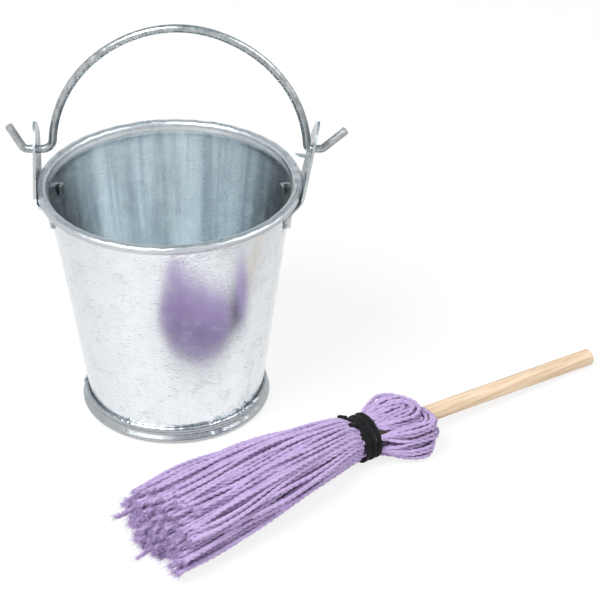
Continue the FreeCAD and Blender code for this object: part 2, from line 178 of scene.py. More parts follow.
def frames_along(path):
    """Two normals of a path that turn with it as little as they can."""
    tangents = np.gradient(path, axis=0)
    tangents /= np.linalg.norm(tangents, axis=1)[:, None]
    first = np.cross(tangents[0], [0.0, 0.0, 1.0])
    if np.linalg.norm(first) < 1e-3:
        first = np.cross(tangents[0], [0.0, 1.0, 0.0])
    normals = [first / np.linalg.norm(first)]
    for tangent in tangents[1:]:
        normal = normals[-1] - tangent * (normals[-1] @ tangent)
        normals.append(normal / np.linalg.norm(normal))
    normals = np.array(normals)
    return normals, np.cross(tangents, normals)


def add_tube(build, path, radii, sides):
    """A tube with closed ends along a path whose radius is given at every point."""
    normals, sideways = frames_along(path)
    radii = np.broadcast_to(radii, len(path)).astype(float)
    path = np.concatenate([path[:1], path, path[-1:]])
    radii = np.concatenate([[radii[0] * CLOSED], radii, [radii[-1] * CLOSED]])
    normals = np.concatenate([normals[:1], normals, normals[-1:]])
    sideways = np.concatenate([sideways[:1], sideways, sideways[-1:]])
    angles = np.linspace(0, math.tau, sides, endpoint=False)
    ring = normals[:, None] * np.cos(angles)[None, :, None]
    ring = ring + sideways[:, None] * np.sin(angles)[None, :, None]
    points = path[:, None] + ring * radii[:, None, None]
    lengths = np.concatenate([[0], np.cumsum(np.linalg.norm(np.diff(path, axis=0), axis=1))])
    places = np.stack(
        np.broadcast_arrays(angles[None, :] * radii.mean(), lengths[:, None]), axis=-1
    )
    build.add(points.reshape(-1, 3), grid_quads(len(path), sides), places.reshape(-1, 2))


def add_twisted(build, path, radius, pitch, phase, plies=2, sides=5, taper=None):
    """A twisted yarn along a path: its plies wind round each other."""
    normals, sideways = frames_along(path)
    lengths = np.concatenate([[0], np.cumsum(np.linalg.norm(np.diff(path, axis=0), axis=1))])
    width = np.ones(len(path)) if taper is None else taper
    for ply in range(plies):
        turn = math.tau * (lengths / pitch + ply / plies) + phase
        offset = normals * np.cos(turn)[:, None] + sideways * np.sin(turn)[:, None]
        line = path + offset * (radius * PLY_OFFSET * width)[:, None]
        add_tube(build, line, radius * PLY_RADIUS * width, sides)


def add_turned(build, section, segments, deform=None):
    """A closed section of (radius, height) points turned about the bucket's axis."""
    section = np.asarray(section, float)
    angles = np.linspace(0, math.tau, segments, endpoint=False)
    radii = np.repeat(section[:, :1], segments, axis=1)
    heights = np.repeat(section[:, 1:], segments, axis=1)
    around = np.broadcast_to(angles, radii.shape)
    if deform is not None:
        radii, heights = deform(radii, heights, around)
    points = np.stack([radii * np.cos(around), radii * np.sin(around), heights], axis=-1)
    places = np.stack([around * SHEET_RADIUS, heights], axis=-1)
    quads = grid_quads(len(section), segments, closed_rows=True)[:, ::-1]
    build.add(points.reshape(-1, 3), quads, places.reshape(-1, 2))


def thick(line, thickness):
    """The closed section of a bent sheet from the middle line of its (radius, height) points."""
    line = np.asarray(line, float)
    along = np.gradient(line, axis=0)
    along /= np.linalg.norm(along, axis=1)[:, None]
    out = np.stack([along[:, 1], -along[:, 0]], axis=-1) * thickness / 2
    return np.concatenate([line + out, (line - out)[::-1]])


def arc(centre, radius, start, end, steps):
    """Points of an arc of (radius, height), with its angles in degrees."""
    angles = np.radians(np.linspace(start, end, steps))
    return np.stack(
        [centre[0] + radius * np.cos(angles), centre[1] + radius * np.sin(angles)], axis=-1
    )


# ---------------------------------------------------------------- materials

class Nodes:
    """A material's node tree, with short ways to add the nodes that the materials share."""

    def __init__(self, name, material=None):
        self.material = material or bpy.data.materials.new(name)
        self.material.use_nodes = True
        self.tree = self.material.node_tree
        self.shader = self.tree.nodes["Principled BSDF"]

    def add(self, kind, **settings):
        node = self.tree.nodes.new("ShaderNode" + kind)
        for name, value in settings.items():
            if name in node.inputs:
                node.inputs[name].default_value = value
            else:
                setattr(node, name, value)
        return node

    def link(self, source, target):
        self.tree.links.new(source, target)

    def coordinates(self, kind, scale=(1, 1, 1), turn=0.0):
        if kind == "sheet":
            place = self.add("UVMap", uv_map="sheet").outputs["UV"]
        else:
            place = self.add("TexCoord").outputs["Object"]
        mapping = self.add("Mapping")
        mapping.inputs["Scale"].default_value = scale
        mapping.inputs["Rotation"].default_value = (0, 0, turn)
        self.link(place, mapping.inputs["Vector"])
        return mapping.outputs["Vector"]

    def noise(self, vector, scale, detail=3.0, roughness=0.5):
        node = self.add("TexNoise", Scale=scale, Detail=detail, Roughness=roughness)
        self.link(vector, node.inputs["Vector"])
        return node.outputs["Fac"]

    def ramp(self, value, *stops):
        node = self.add("ValToRGB")
        while len(node.color_ramp.elements) < len(stops):
            node.color_ramp.elements.new(0.5)
        for element, (position, colour) in zip(node.color_ramp.elements, stops):
            element.position = position
            element.color = (*colour, 1)
        self.link(value, node.inputs["Fac"])
        return node.outputs["Color"]

    def math(self, operation, first, second):
        node = self.add("Math", operation=operation)
        for value, socket in ((first, node.inputs[0]), (second, node.inputs[1])):
            if isinstance(value, (int, float)):
                socket.default_value = value
            else:
                self.link(value, socket)
        return node.outputs["Value"]

    def spread(self, value, low, high, to_low, to_high):
        node = self.add("MapRange")
        for name, number in (
            ("From Min", low),
            ("From Max", high),
            ("To Min", to_low),
            ("To Max", to_high),
        ):
            node.inputs[name].default_value = number
        self.link(value, node.inputs["Value"])
        return node.outputs["Result"]

    def bump(self, height, strength, distance, before=None):
        node = self.add("Bump", Strength=strength, Distance=distance)
        self.link(height, node.inputs["Height"])
        if before is not None:
            self.link(before, node.inputs["Normal"])
        return node.outputs["Normal"]

    def set(self, **values):
        for name, value in values.items():
            self.shader.inputs[name.replace("_", " ")].default_value = value


def scratches(nodes, kind, turn, length, width, threshold):
    """Thin short lines in one direction, 1 on a line and 0 off it."""
    vector = nodes.coordinates(kind, (1 / length, 1 / width, 1 / width), turn)
    return nodes.spread(nodes.noise(vector, 1.0, 2.0), threshold, threshold + 0.04, 0.0, 1.0)


def tin_material(name, kind, tint, rough, worn, streaks, grain):
    """Bright galvanised sheet: dull clouds, fine scratches several ways, specks and a crackled
    skin. Worn is how dark its marks are, streaks how strong the upright streaks are and grain
    how coarse its skin is."""
    nodes = Nodes(name)
    nodes.set(Metallic=1.0)
    place = nodes.coordinates(kind)
    cloud = nodes.noise(place, 180.0, 4.0, 0.6)
    colour = nodes.ramp(cloud, (0.3, tuple(0.92 * part for part in tint)), (0.7, tint))
    dull = nodes.noise(nodes.coordinates(kind, (22, 5, 5)), 1.0, 2.0)
    upright = nodes.noise(nodes.coordinates(kind, (420, 18, 18)), 1.0, 3.0, 0.6)
    skin = nodes.noise(place, 2300.0, 4.0, 0.7)
    speck = nodes.spread(skin, 0.61, 0.68, 0.0, 1.0)
    patch = nodes.spread(nodes.noise(place, 240.0, 3.0, 0.6), 0.50, 0.66, 0.0, 1.0)
    lines = scratches(nodes, kind, 0.5, 1.6 * MM, 0.10 * MM, 0.63)
    for turn, length in ((-0.8, 1.2 * MM), (1.4, 2.2 * MM), (0.1, 2.6 * MM)):
        more = scratches(nodes, kind, turn, length, 0.09 * MM, 0.64)
        lines = nodes.math("MAXIMUM", lines, more)
    marks = nodes.math("MAXIMUM", speck, lines)
    marks = nodes.math("MULTIPLY", marks, nodes.math("ADD", patch, 0.35))
    streak = nodes.spread(upright, 0.42, 0.66, 0.0, streaks)
    for amount, shade in (
        (nodes.spread(dull, 0.45, 0.62, 0.0, 1.0), (0.84, 0.86, 0.88, 1)),
        (streak, (0.62, 0.66, 0.70, 1)),
        (nodes.math("MULTIPLY", marks, worn), (0.30, 0.31, 0.32, 1)),
    ):
        mix = nodes.add("MixRGB", blend_type="MULTIPLY")
        nodes.link(amount, mix.inputs["Fac"])
        nodes.link(colour, mix.inputs["Color1"])
        mix.inputs["Color2"].default_value = shade
        colour = mix.outputs["Color"]
    nodes.link(colour, nodes.shader.inputs["Base Color"])
    gloss = nodes.spread(cloud, 0.25, 0.75, rough * 0.75, rough * 1.25)
    gloss = nodes.math("ADD", gloss, nodes.math("MULTIPLY", marks, 0.15))
    nodes.link(gloss, nodes.shader.inputs["Roughness"])
    broad = nodes.bump(nodes.noise(place, 90.0, 2.0), 0.25, 0.15 * MM)
    fine = nodes.bump(skin, 0.5, grain, broad)
    fine = nodes.bump(nodes.math("MULTIPLY", marks, -1.0), 0.4 * worn, 0.02 * MM, fine)
    nodes.link(fine, nodes.shader.inputs["Normal"])
    return nodes.material


# where the shade of the cuts beside the ears' prongs is painted: degrees about the bucket's axis,
# height and size
SLIT_TURNS = (18.5, 161.5, 198.5, 341.5)
SLIT_LEVEL, SLIT_HALF_WIDTH, SLIT_HALF_HEIGHT = 44.6 * MM, 0.55 * MM, 2.3 * MM


def paint_slit_shade(material, turns, level, half_width, half_height):
    """Painted shade of the cuts in the wall where the ears' prongs go through it, by degrees about
    the axis: a near-black colour on a sheet that has no hole there.
    """
    nodes = Nodes(material.name, material)
    place = nodes.add("SeparateXYZ")
    nodes.link(nodes.coordinates("sheet"), place.inputs["Vector"])
    up = nodes.math("ABSOLUTE", nodes.math("SUBTRACT", place.outputs["Y"], level), 0.0)
    up = nodes.math("DIVIDE", up, half_height)
    # cut masks where the shade of the slits is painted
    cut = None
    for turn in turns:
        middle = math.radians(turn) * SHEET_RADIUS
        off = nodes.math("ABSOLUTE", nodes.math("SUBTRACT", place.outputs["X"], middle), 0.0)
        reach = nodes.math("ADD", up, nodes.math("DIVIDE", off, half_width))
        cut = reach if cut is None else nodes.math("MINIMUM", cut, reach)
    cut = nodes.spread(cut, 0.85, 1.0, 1.0, 0.0)
    before = nodes.shader.inputs["Base Color"].links[0].from_socket
    # the painted shade of the cuts: near black over the tin's own colour
    mix = nodes.add("MixRGB", Color2=(0.015, 0.016, 0.018, 1))
    nodes.link(cut, mix.inputs["Fac"])
    nodes.link(before, mix.inputs["Color1"])
    nodes.link(mix.outputs["Color"], nodes.shader.inputs["Base Color"])


def wire_material():
    """Drawn galvanised wire: a dull zinc skin with fine clouds in its tone, roughness and bumps."""
    nodes = Nodes("galvanised_wire")
    nodes.set(Metallic=1.0)
    place = nodes.coordinates("object")
    cloud = nodes.noise(place, 900.0, 4.0, 0.6)
    colour = nodes.ramp(cloud, (0.3, (0.28, 0.305, 0.315)), (0.7, (0.55, 0.575, 0.585)))
    nodes.link(colour, nodes.shader.inputs["Base Color"])
    nodes.link(nodes.spread(cloud, 0.2, 0.8, 0.22, 0.42), nodes.shader.inputs["Roughness"])
    nodes.link(nodes.bump(cloud, 0.3, 0.05 * MM), nodes.shader.inputs["Normal"])
    return nodes.material


def wood_material():
    """Pale planed dowel: long grain lines and a slight colour drift."""
    nodes = Nodes("pale_wood")
    turn = -STICK_HEADING
    long_way = nodes.coordinates("object", (1, 1, 1), turn)
    stretch = nodes.add("Mapping")
    stretch.inputs["Scale"].default_value = (60, 1500, 1500)
    nodes.link(long_way, stretch.inputs["Vector"])
    grain = nodes.noise(stretch.outputs["Vector"], 1.0, 4.0, 0.6)
    colour = nodes.ramp(
        grain, (0.32, (0.50, 0.35, 0.22)), (0.5, (0.64, 0.49, 0.34)), (0.7, (0.72, 0.58, 0.43))
    )
    nodes.link(colour, nodes.shader.inputs["Base Color"])
    nodes.set(Roughness=0.6)
    nodes.link(nodes.bump(grain, 0.35, 0.08 * MM), nodes.shader.inputs["Normal"])
    return nodes.material


def yarn_material(name, pale, deep, sheen):
    """Soft spun fibre: colour drifts from strand to strand, with a fine hairy surface."""
    nodes = Nodes(name)
    place = nodes.coordinates("object")
    drift = nodes.noise(place, 260.0, 3.0, 0.6)
    colour = nodes.ramp(drift, (0.3, deep), (0.7, pale))
    nodes.link(colour, nodes.shader.inputs["Base Color"])
    nodes.set(Roughness=0.9, Specular_IOR_Level=0.15, Sheen_Weight=sheen, Sheen_Roughness=0.5)
    fibres = nodes.noise(nodes.coordinates("sheet", (9000, 1400, 1)), 1.0, 3.0, 0.6)
    nodes.link(nodes.bump(fibres, 0.6, 0.12 * MM), nodes.shader.inputs["Normal"])
    return nodes.material


OUTSIDE_TIN = tin_material(
    "tin_outside_painted_slit_shade", "sheet", (0.87, 0.90, 0.925), 0.11, worn=0.85, streaks=0.10, grain=0.048 * MM
)
# paints the shade of the prongs' cuts onto the outside tin
paint_slit_shade(OUTSIDE_TIN, SLIT_TURNS, SLIT_LEVEL, SLIT_HALF_WIDTH, SLIT_HALF_HEIGHT)
INSIDE_TIN = tin_material(
    "tin_inside", "sheet", (0.95, 0.985, 0.995), 0.21, worn=0.25, streaks=0.85, grain=0.010 * MM
)
ROLLED_TIN = tin_material(
    "tin_rolled", "sheet", (0.64, 0.67, 0.69), 0.33, worn=0.95, streaks=0.0, grain=0.090 * MM
)
RING_TIN = tin_material(
    "tin_ring", "sheet", (0.49, 0.515, 0.53), 0.30, worn=0.95, streaks=0.0, grain=0.070 * MM
)
FLOOR_TIN = tin_material(
    "tin_floor", "object", (0.90, 0.95, 0.965), 0.24, worn=0.50, streaks=0.0, grain=0.020 * MM
)
EAR_TIN = tin_material(
    "tin_ears", "object", (0.60, 0.64, 0.66), 0.26, worn=0.85, streaks=0.15, grain=0.035 * MM
)
WIRE = wire_material()
WOOD = wood_material()
YARN = yarn_material("lavender_yarn", (0.49, 0.38, 0.63), (0.38, 0.285, 0.51), 0.30)
CORD = yarn_material("black_cord", (0.012, 0.012, 0.014), (0.004, 0.004, 0.005), 0.08)

# ---------------------------------------------------------------- bucket


def wall_radius(height):
    """The middle of the wall's sheet at a height."""
    top = RIM_TOP - BEAD
    slope = (RIM_RADIUS - 2 * BEAD + SHEET / 2 - FOOT_RADIUS) / top
    return FOOT_RADIUS + slope * height - SHEET / 2


# broad waves of the wall: how many go round, and how high they are in millimetres
WAVE_SIZES = ((2, 0.10), (3, 0.07), (5, 0.05), (9, 0.025), (14, 0.012))
WAVES = [(rng.uniform(0, math.tau), count, size) for count, size in WAVE_SIZES]

# where the wall's lap crosses the rolled rim: it starts here and fades out over these angles
SEAM_START, SEAM_LENGTH, SEAM_FADE = -0.03, 0.50, 0.12
WALL_SEGMENTS = 420
PAN_SEGMENTS = 360


def sheet_wave(around, heights):
    """How far the rolled sheet stands off a true cone: broad waves that change with height."""
    level = heights / RIM_TOP
    total = np.zeros_like(around)
    for phase, count, size in WAVES:
        total += size * MM * np.cos(count * around + phase + 1.3 * level * math.sin(phase))
    return total * (0.35 + 0.65 * np.sin(np.clip(level, 0, 1) * math.pi))


def bucket_wall():
    """The wall's sheet from its foot up to the rolled rim, which curls outward and down."""
    heights = np.linspace(1.7 * MM, RIM_TOP - BEAD - 2.2 * MM, 40)
    line = [(wall_radius(z), z) for z in heights]
    curl_centre = (RIM_RADIUS - BEAD, RIM_TOP - BEAD)
    curl = BEAD - SHEET * 0.35
    neck = RIM_TOP - BEAD
    line += [
        (wall_radius(neck - 1.6 * MM) - 0.05 * MM, neck - 1.6 * MM),
        (wall_radius(neck - 1.0 * MM) - 0.13 * MM, neck - 1.0 * MM),
        (wall_radius(neck - 0.5 * MM) - 0.02 * MM, neck - 0.45 * MM),
    ]
    for angle in range(178, -134, -8):
        dent = 0.16 * math.exp(-(((angle - 78) / 15) ** 2))
        line += arc(curl_centre, curl * (1 - dent), angle, angle, 1).tolist()
    build = Build()

    def deform(radii, heights, around):
        rim = np.clip((heights - neck) / BEAD, 0, 1)
        past = (around - SEAM_START) % math.tau
        seam = np.clip((SEAM_LENGTH - past) / SEAM_FADE, 0, 1) * rim
        inner = np.clip((RIM_RADIUS - BEAD - radii) / BEAD + 0.3, 0, 1)
        radii = radii - seam * inner * 0.45 * MM
        ripple = np.sin(17 * around) * np.sin(5 * around + 2) + np.sin(41 * around)
        heights = heights - seam * 0.40 * MM + ripple * rim * 0.05 * MM
        return radii + sheet_wave(around, heights), heights

    section = thick(line, SHEET * 0.7)
    kinds = np.where(np.arange(len(section)) < len(line), 0, 1)
    kinds[(kinds == 0) & (section[:, 1] > neck - 1.7 * MM)] = 2
    kinds[(kinds == 1) & (section[:, 1] > neck - 0.6 * MM)] = 2
    add_turned(build, section, WALL_SEGMENTS, deform)
    kinds = np.repeat(kinds, WALL_SEGMENTS)
    wall = build.make("tin_wall", OUTSIDE_TIN, "bucket", "tin", (INSIDE_TIN, ROLLED_TIN), kinds)
    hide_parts("bucket_wall")


# where the ring's upper lip is crimped: degrees about the bucket's axis, and millimetres
RING_CRIMPS = (
    (-119, 0.32), (-64, -0.30), (-59, 0.36), (-44, 0.30), (-40, -0.28),
    (-34, 0.34), (-29, -0.30), (-24, 0.26), (-178, 0.2), (-230, 0.28), (-300, 0.25),
)


# how wide a crimp is, in radians, and how much deeper than its size
CRIMP_WIDTH, CRIMP_DEPTH = 0.022, 1.6


def base_pan():
    """The recessed base with the foot ring that is curled up round the wall's foot."""
    inside = FOOT_RADIUS + 0.06 * MM
    bead = (RING_RADIUS - RING_BEAD, RING_BEAD)
    under = FOOT_RADIUS - 1.0 * MM
    section = [(r * under, RING_BEAD) for r in (0.001, 0.3, 0.6, 0.9)]
    section += arc(bead, RING_BEAD, 180, 360, 16).tolist()
    section += [
        (RING_RADIUS - 0.15 * MM, RING_BEAD + 0.30 * MM),
        (RING_RADIUS - 0.62 * MM, RING_BEAD + 0.75 * MM),
        (RING_RADIUS - 0.80 * MM, RING_BEAD + 1.15 * MM),
        (RING_RADIUS - 0.60 * MM, RING_BEAD + 1.60 * MM),
        (RING_RADIUS - 0.42 * MM, RING_BEAD + 1.95 * MM),
        (RING_RADIUS - 0.55 * MM, RING_BEAD + 2.30 * MM),
        (wall_radius(RING_TOP) + SHEET * 0.5 + 0.42 * MM, RING_TOP),
        (wall_radius(RING_TOP) + SHEET * 0.5 + 0.05 * MM, RING_TOP),
        (inside, 2.0 * MM),
    ]
    section += [(r * under, FLOOR_TOP) for r in (1.0, 0.9, 0.6, 0.3, 0.001)]
    build = Build()

    def deform(radii, heights, around):
        outer = np.clip((radii - FOOT_RADIUS) / (RING_RADIUS - FOOT_RADIUS), 0, 1)
        crimp = sum(
            size * np.exp(-(((around - math.radians(turn) - math.tau) / CRIMP_WIDTH) ** 2))
            for turn, size in RING_CRIMPS
        )
        crimp = CRIMP_DEPTH * crimp + 0.05 * np.sin(23 * around) * np.sin(3 * around + 1)
        crimp = crimp + 0.04 * np.sin(61 * around + 2)
        upper = np.clip((heights - RING_BEAD) / (RING_TOP - RING_BEAD), 0, 1)
        return radii + outer * upper * crimp * MM, heights + outer * upper * crimp * MM

    add_turned(build, section, PAN_SEGMENTS, deform)
    kinds = np.where(np.array(section)[:, 0] < FOOT_RADIUS - 0.5 * MM, 1, 0)
    kinds = np.repeat(kinds, PAN_SEGMENTS)
    pan = build.make("tin_base", RING_TIN, "bucket", "tin", (FLOOR_TIN,), kinds)
    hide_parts("base_pan")


TONGUE_REACH, TONGUE_HALF_WIDTH, TONGUE_HALF_THICKNESS = 3.4 * MM, 0.80 * MM, 0.16 * MM


def ear_tongue():
    """The slug of the right ear's hole, left hanging inward from the hole's lower edge."""
    rows, sides = 14, 12
    ear_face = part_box("right_ear")[1][0] - 1.6 * MM
    level = HINGE_Z - 1.75 * MM
    shares = np.linspace(0, 1, rows)
    upward = level + 0.5 * MM * shares**2
    path = np.stack([ear_face - TONGUE_REACH * shares, 0 * shares, upward], axis=-1)
    half = np.sqrt(np.clip(1 - (shares * 1.02 - 0.35) ** 2 / 0.47, 0.02, 1)) * TONGUE_HALF_WIDTH
    angles = np.linspace(0, math.tau, sides, endpoint=False)
    dished = TONGUE_HALF_THICKNESS * np.sin(angles) + 0.10 * MM * np.cos(angles) ** 2
    around = np.broadcast_arrays(0.0, half[:, None] * np.cos(angles), dished)
    build = Build()
    build.add((path[:, None] + np.stack(around, axis=-1)).reshape(-1, 3), grid_quads(rows, sides))
    build.make("ear_tongue", EAR_TIN, "bucket", "tin")


def dress(node, material):
    """Gives a CAD node that stays its material."""
    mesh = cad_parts[node].data
    mesh.materials.clear()
    mesh.materials.append(material)


# ---------------------------------------------------------------- mop

YARN_RADIUS = 0.45 * MM
YARN_STEP = 0.5 * MM
CORD_RING = 4.35 * MM
# cut ends of the cord: degrees round the band, where each starts and its length
CORD_ENDS = ((58, -1.9, 1.5), (104, -2.3, 1.7))
YARN_PITCH = 3.0 * MM
BAND_HALF = 2.3 * MM
BAND_YARN = 3.95 * MM
SKIRT_COUNT = 236
SKIRT_DRIFT = 2.9 * MM
SKIRT_PIECES = 4
SKIRT_LENGTH = 51.0 * MM
SKIRT_HALF_WIDTH = 10.8 * MM
SKIRT_HALF_HEIGHT = 5.6 * MM
NOTCH_PLACE, NOTCH_WIDTH, NOTCH_DEPTH = -0.45, 0.14, 3.0 * MM
TOP_SHORTER = 6.0 * MM
LOOP_TURN = 3.2 * MM

# groups of loops at the head, in millimetres: middle across the stick, drift along it, levels
# over the floor, half widths, and how far the widest reaches
HEAD_GROUPS = (
    (3.3, -0.02, (7.8, 6.7, 5.5, 4.2, 2.9, 1.5), (3.4, 2.4, 1.4, 0.5), 12.8),
    (-0.3, -0.08, (9.4, 8.4, 7.4, 1.0), (3.9, 2.9, 1.9, 0.8), 12.6),
    (-3.9, -0.04, (8.2, 7.1, 5.9, 4.6, 3.3, 2.1, 1.0), (3.7, 2.8, 1.9, 0.9), 14.2),
)


def skirt_path(across, up, jitter):
    """A leg of the skirt from the band to its cut end. Across and up are its place in the
    bundle's section, from -1 to 1: it spreads from a round section to a wide low one."""
    reach = SKIRT_LENGTH + jitter[0] * MM
    notch = math.exp(-(((across - NOTCH_PLACE) / NOTCH_WIDTH) ** 2)) * NOTCH_DEPTH
    reach -= notch + TOP_SHORTER * max(up, 0) ** 1.5
    points = []
    for share in (0.0, 0.05, 0.12, 0.22, 0.36, 0.52, 0.68, 0.84, 1.0):
        along = -BAND_HALF - (reach - BAND_HALF) * share
        spread = 1 - (1 - share) ** 2.2
        width = BAND_YARN + (SKIRT_HALF_WIDTH - BAND_YARN) * spread
        height = BAND_YARN + (SKIRT_HALF_HEIGHT - BAND_YARN) * share**0.5
        height += 1.1 * MM * math.sin(math.pi * share**0.6)
        lying = 0.1 * MM + height
        level = lying + (stick_level(0) - BAND_YARN - 0.1 * MM) * (1 - share) ** 4
        sway = share * jitter[1] * math.sin(4.5 * share + jitter[2]) * 1.3 * MM
        lift = share * jitter[3] * 0.5 * MM * (1 + math.sin(6 * share + jitter[2]))
        side = across * width + sway - SKIRT_DRIFT * share**1.2
        points.append((along, side, level + up * height + lift))
    points = np.array(points)
    points[:, 2] = np.maximum(points[:, 2], YARN_RADIUS + 0.05 * MM)
    return points


def loop_path(across, height, end, group, twist):
    """A length of yarn folded over at the head: out of the band, round its loop and back into the
    band. Across is half of the loop's width and height its level over the floor; group is the
    centre of the loops that it lies among."""
    centre, lean = group
    path = []
    for along, share in ((-BAND_HALF, 0.0), (0, 0.0), (BAND_HALF, 0.10)):
        path.append((along, across, share))
    path += [(4.6 * MM, across, 0.55), (7.5 * MM, across, 0.9)]
    turn = min(across, LOOP_TURN)
    for angle in (0, 30, 60, 90):
        angle = math.radians(angle)
        path.append((end - turn + turn * math.sin(angle), across * math.cos(angle), 1.0))
    both = path + [(x, -y, share) for x, y, share in reversed(path[:-1])]
    points = []
    for index, (x, y, share) in enumerate(both):
        far = index / (len(both) - 1)
        band_y = y / max(across, MM) * 0.5 + centre / (8 * MM)
        band_y = max(-0.92, min(0.92, band_y)) * BAND_YARN
        band_z = 0.92 * math.sqrt(BAND_YARN**2 - band_y**2)
        level = stick_level(x) + math.copysign(band_z, height - stick_level(x))
        z = level + (height + twist * (far - 0.5) - level) * share
        place = centre + y + lean * max(x, 0)
        points.append((x, band_y + (place - band_y) * share, max(z, YARN_RADIUS + 0.05 * MM)))
    return np.array(points)


def mop_yarn():
    """All the yarn: folded loops at the head and the fringe of the skirt, whose ends fray."""
    golden = math.pi * (3 - math.sqrt(5))
    builds = [Build() for _ in range(SKIRT_PIECES)]
    fuzz = Build()
    for index in range(SKIRT_COUNT):
        radius = math.sqrt((index + 0.5) / SKIRT_COUNT)
        angle = index * golden
        across, up = radius * math.cos(angle), radius * math.sin(angle)
        jitter = rng.normal(0, 1, 4) * (0.8, 0.75, 2.0, 0.6)
        path = smoothed(mop_to_world(skirt_path(across, up, jitter)), YARN_STEP)
        path[1:-1] += rng.normal(0, 0.02 * MM, (len(path) - 2, 3))
        shares = np.linspace(0, 1, len(path))
        swell = 1 + 0.07 * np.sin(shares * rng.uniform(8, 16) + angle) + 0.12 * shares**3
        wander = rng.uniform(0, math.tau, 2)
        drift = 0.55 * MM * np.sin(math.pi * shares)
        path[:, 2] += drift * np.sin(9 * shares + wander[0]) * 0.5
        path[:, 0] += drift * np.sin(7 * shares + wander[1]) * 0.5
        path[:, 1] -= drift * np.sin(7 * shares + wander[1]) * 0.7
        path[:, 2] = np.maximum(path[:, 2], YARN_RADIUS * 1.2)
        size = YARN_RADIUS * rng.uniform(0.9, 1.1)
        pitch = YARN_PITCH * rng.uniform(0.85, 1.2)
        add_twisted(builds[index % SKIRT_PIECES], path, size, pitch, angle, taper=swell)
        add_fuzz(fuzz, path, size, 26 if radius > 0.75 else 4)
        fray(fuzz, path, size, 44, 1.3 * MM)
    head = Build()
    for centre, lean, heights, widths, end in HEAD_GROUPS:
        for height in heights:
            for across in widths:
                reach = end - (max(widths) - across) * 0.9 + rng.normal(0, 0.35)
                group, twist = (centre * MM, lean), rng.normal(0, 0.8) * MM
                loop = loop_path(across * MM, height * MM, reach * MM, group, twist)
                loop[1:-1] += rng.normal(0, 0.12 * MM, (len(loop) - 2, 3))
                loop[:, 2] = np.maximum(loop[:, 2], YARN_RADIUS + 0.05 * MM)
                path = smoothed(mop_to_world(loop), YARN_STEP)
                size = YARN_RADIUS * rng.uniform(0.95, 1.1)
                add_twisted(head, path, size, YARN_PITCH, rng.uniform(0, math.tau))
                add_fuzz(fuzz, path, size, 8)
    pieces = [
        build.make(f"yarn_skirt_{number}", YARN, "mop", "yarn")
        for number, build in enumerate(builds, start=1)
    ]
    head.make("yarn_head", YARN, "mop", "yarn")
    fuzz.make("yarn_fuzz", YARN, "mop", "yarn")
    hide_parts(*[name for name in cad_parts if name.startswith("yarn_lock")])


def add_fibre(build, start, way, length, width):
    """A fine bent hair of three faces."""
    way = way / np.linalg.norm(way)
    side = np.cross(way, rng.normal(0, 1, 3))
    side /= np.linalg.norm(side)
    bend = rng.normal(0, 0.35, 3)
    points, quads = [], []
    for step, share in enumerate((0.0, 0.35, 0.7, 1.0)):
        spot = start + way * length * share + bend * length * share**2
        spot[2] = max(spot[2], 0.05 * MM)
        half = side * width * (1 - 0.6 * share) / 2
        points += [spot - half, spot + half]
        if step:
            quads.append((2 * step - 2, 2 * step - 1, 2 * step + 1, 2 * step))
    build.add(points, quads)


def add_fuzz(build, path, radius, count):
    """Loose hairs that stand off a yarn."""
    for spot in rng.integers(2, len(path) - 2, count):
        along = path[spot + 1] - path[spot - 1]
        way = rng.normal(0, 1, 3)
        way -= along * (way @ along) / (along @ along)
        way /= np.linalg.norm(way)
        start = path[spot] + way * radius * 0.85
        slant = way * 0.6 + along / np.linalg.norm(along) * rng.choice((-1, 1)) * 1.2
        add_fibre(build, start, slant, rng.uniform(0.4, 1.3) * MM, 0.035 * MM)


def fray(build, path, radius, hairs, reach):
    """The cut end of a yarn: a brush of short hairs."""
    way = path[-1] - path[-3]
    way /= np.linalg.norm(way)
    for _ in range(hairs):
        offset = rng.normal(0, 0.6, 3) * radius
        spread = way + rng.normal(0, 0.45, 3)
        start = path[-1] + offset - way * radius * 0.5
        add_fibre(build, start, spread, rng.uniform(0.3, 1) * reach, 0.08 * MM)


def band_cord():
    """The black cord: turns wound a little unevenly, and two short cut ends beside them."""
    build = Build()
    turns = 7
    steps = 48 * turns
    angles = np.linspace(0, math.tau * turns, steps)
    along = np.linspace(-BAND_HALF + 0.4 * MM, BAND_HALF - 0.4 * MM, steps)
    along = along + 0.10 * MM * np.sin(angles * 0.61) + 0.06 * MM * np.sin(angles * 1.7 + 1)
    ring = CORD_RING + 0.13 * MM * np.sin(angles * 0.37) + 0.06 * MM * np.sin(angles * 2.3)
    up = stick_level(0) + ring * np.sin(angles)
    local = np.stack([along, ring * np.cos(angles), np.maximum(up, 0.42 * MM)], axis=-1)
    add_twisted(build, mop_to_world(local), 0.43 * MM, 1.5 * MM, 0.0, plies=3, sides=6)
    for turn, start, length in CORD_ENDS:
        turn = math.radians(turn)
        out = np.array([0, math.cos(turn), math.sin(turn)])
        spot = np.array([0, 0, stick_level(0)]) + out * (CORD_RING + 0.35 * MM)
        shares = np.linspace(0, 1, 9)[:, None]
        way = np.array([-1.0, 0.25 * math.cos(turn), 0.12])
        stub = spot + [start * MM, 0, 0] + way * length * MM * shares + out * 0.5 * MM * shares
        add_twisted(build, mop_to_world(stub), 0.58 * MM, 1.5 * MM, 0.0, plies=3, sides=6)
        fray(build, mop_to_world(stub), 0.45 * MM, 16, 0.6 * MM)
    add_fuzz(build, mop_to_world(local), 0.42 * MM, 260)
    cord = build.make("cord_winding", CORD, "mop", "cord")
    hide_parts("band_cord")


# ---------------------------------------------------------------- stage

FLOOR_REACH = 3.0
# how much of the floor's light is its own, for rays that show it as a background
FLOOR_GLOW = 0.82
# how bright mirror reflections see the floor beside the bucket: from, to, and the shade at each
RIGHT_SHADE = (0.028, 0.075, 1.0, 0.70)
LEFT_SHADE = (-0.075, -0.032, 0.88, 1.0)
# the world's strength for light on the object, and for rays that show it as a background
WORLD_LIGHT, WORLD_WHITE = 0.50, 1.0
